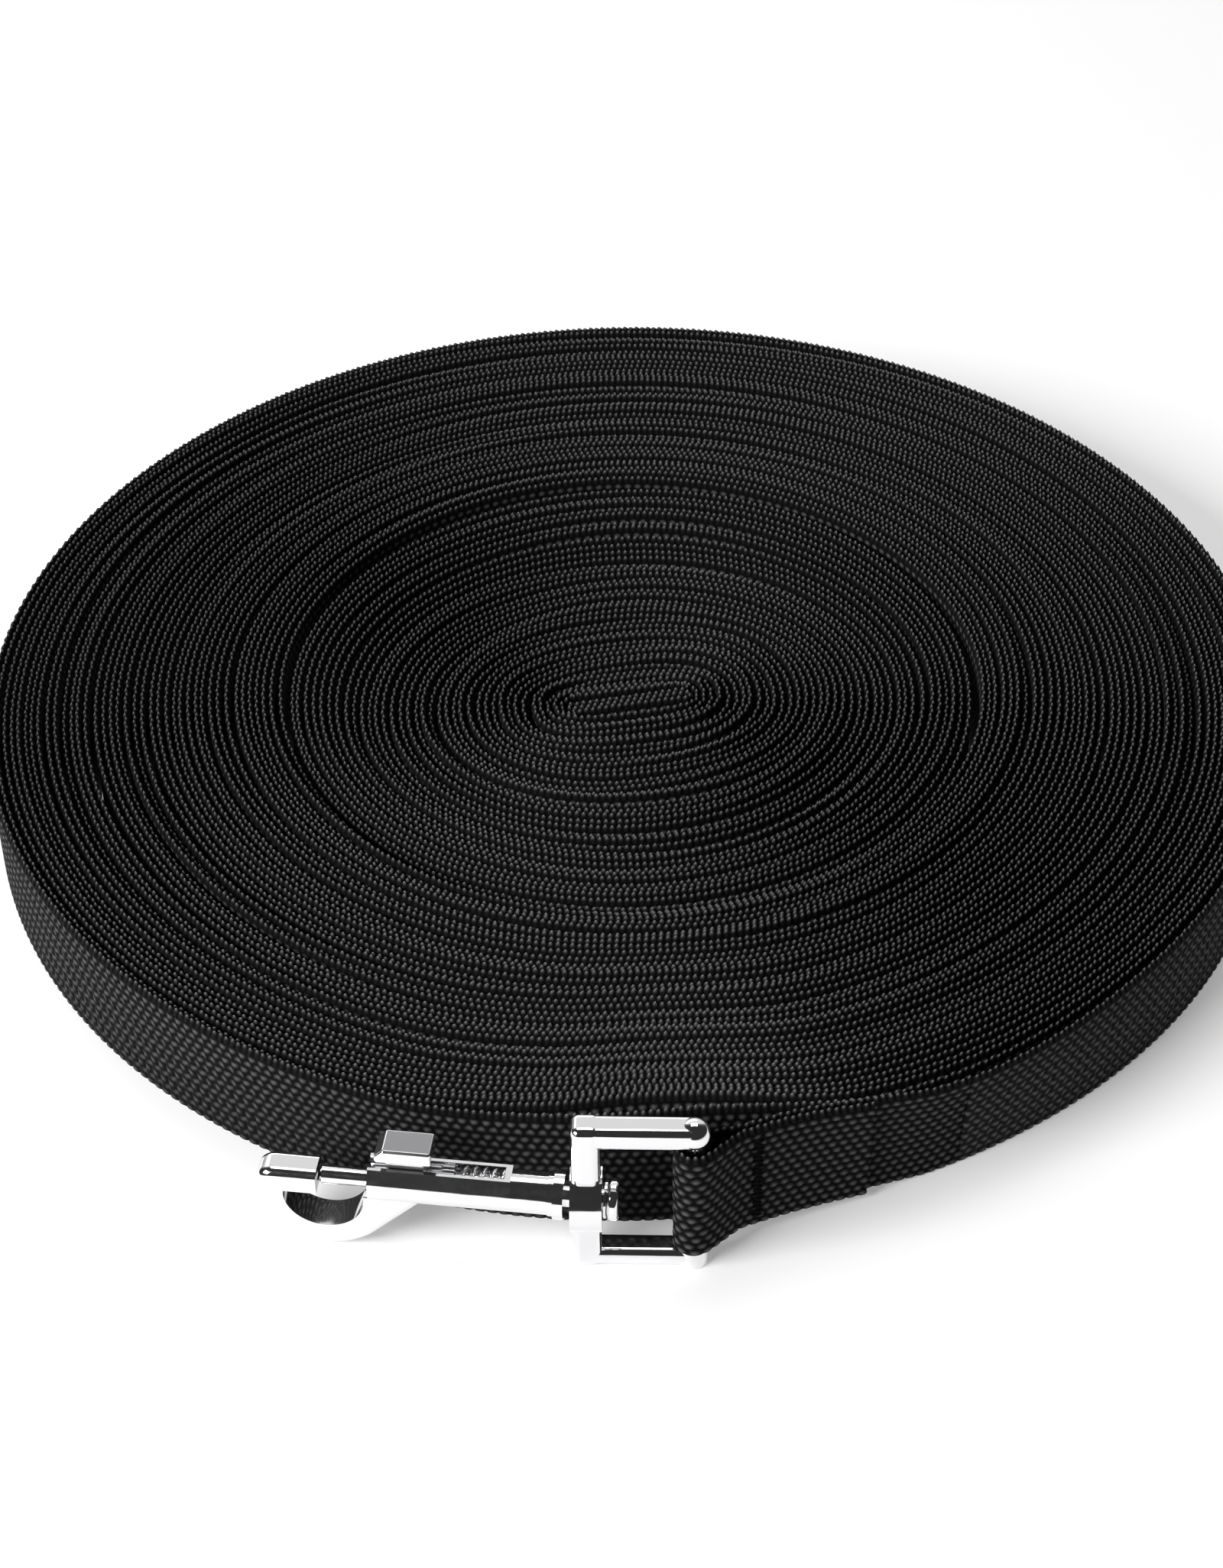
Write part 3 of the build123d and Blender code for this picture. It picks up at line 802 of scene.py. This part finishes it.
plate.links.new(plate_place.outputs["Object"], specks.inputs["Vector"])
plate.links.new(plate_in.outputs["Wave Size"], waves.inputs["Scale"])
plate.links.new(
    maths(plate, "ADD", plate_in.outputs["Low Roughness"], maths(plate, "MULTIPLY", specks.outputs[0], 0.10)),
    plate_out.inputs["Roughness"],
)
plate.links.new(
    maths(plate, "ADD", waves.outputs[0], maths(plate, "MULTIPLY", specks.outputs[0], 0.02)), plate_out.inputs["Height"]
)


def plated_material(name, wave_size, low_roughness, bump_distance):
    """A bright plated metal: the plate group feeding the roughness and the bump of a metallic shader."""
    material, tree, shader = new_material(name)
    group = add_node(tree, "ShaderNodeGroup", node_tree=plate)
    group.inputs["Wave Size"].default_value = wave_size
    group.inputs["Low Roughness"].default_value = low_roughness
    bump = add_node(tree, "ShaderNodeBump")
    bump.inputs["Strength"].default_value = 0.6
    bump.inputs["Distance"].default_value = bump_distance
    tree.links.new(group.outputs["Roughness"], shader.inputs["Roughness"])
    tree.links.new(group.outputs["Height"], bump.inputs["Height"])
    tree.links.new(bump.outputs["Normal"], shader.inputs["Normal"])
    shader.inputs["Base Color"].default_value = (0.86, 0.86, 0.87, 1)
    shader.inputs["Metallic"].default_value = 1.0
    return material


cast_plate = plated_material("cast_plate", 260, 0.05, 0.0001)
turned_plate = plated_material("turned_plate", 500, 0.05, 0.00003)
spring_plate = plated_material("spring_wire", 900, 0.2, 0.00003)
tab_plate = plated_material("tab_plate", 300, 0.12, 0.00006)

tab_tree = tab_plate.node_tree
tab_place = tab_tree.nodes.new("ShaderNodeTexCoord")
tab_height = tab_tree.nodes.new("ShaderNodeSeparateXYZ")
tab_tree.links.new(tab_place.outputs["Object"], tab_height.inputs[0])
# Painted shade: above this height the tab's top is coloured dark grey in place of a dimmer reflection.
tab_top_height = 0.02037
on_top = maths(tab_tree, "GREATER_THAN", tab_height.outputs["Z"], tab_top_height)
tab_top_painted_shade_mix = add_node(tab_tree, "ShaderNodeMix", data_type="RGBA")
tab_top_painted_shade_mix.inputs[6].default_value = (0.86, 0.86, 0.87, 1)
tab_top_painted_shade_mix.inputs[7].default_value = (0.36, 0.36, 0.37, 1)
tab_tree.links.new(on_top, tab_top_painted_shade_mix.inputs["Factor"])
tab_tree.links.new(tab_top_painted_shade_mix.outputs[2], tab_tree.nodes["Principled BSDF"].inputs["Base Color"])

for node, material in {
    "eye_frame": cast_plate, "hook_body": cast_plate, "swivel_post": turned_plate, "rivet_washer": turned_plate,
    "sliding_bolt": turned_plate, "thumb_tab": tab_plate, "bolt_spring": spring_plate,
}.items():
    for slot in frame["nodes"][node].material_slots:
        slot.material = material
print("plated:", sorted(m.name for m in bpy.data.materials if "plate" in m.name))

# %% [markdown]
# ## The spring in the barrel
#
# The bolt squeezes its spring, so the spring can't ride on one body. Here a copy of the CAD spring takes the
# CAD part's place, and how far its wire reaches along the barrel from the swivel is worked out.

# %% Spring between the casting and the bolt
swivel_joint = next(j for j in frame["joints"] if j["name"] == "hook_swivel")
swivel_centre = np.array(swivel_joint["pos_m"])
towards_hook = -np.array(swivel_joint["axis"])
spring_mesh = frame["nodes"]["bolt_spring"].data.copy()
spring_mesh.transform(frame["nodes"]["bolt_spring"].matrix_world)
spring_piece = bpy.data.objects.new("squeezed_spring", spring_mesh)
bpy.context.scene.collection.objects.link(spring_piece)
along_barrel = (np.array([v.co for v in spring_mesh.vertices]) - swivel_centre) @ towards_hook
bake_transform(spring_piece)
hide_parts("bolt_spring")
spring_ends = [round(1000 * reach, 2) for reach in (along_barrel.min(), along_barrel.max())]
print("spring from", spring_ends[0], "to", spring_ends[1], "mm from the swivel")
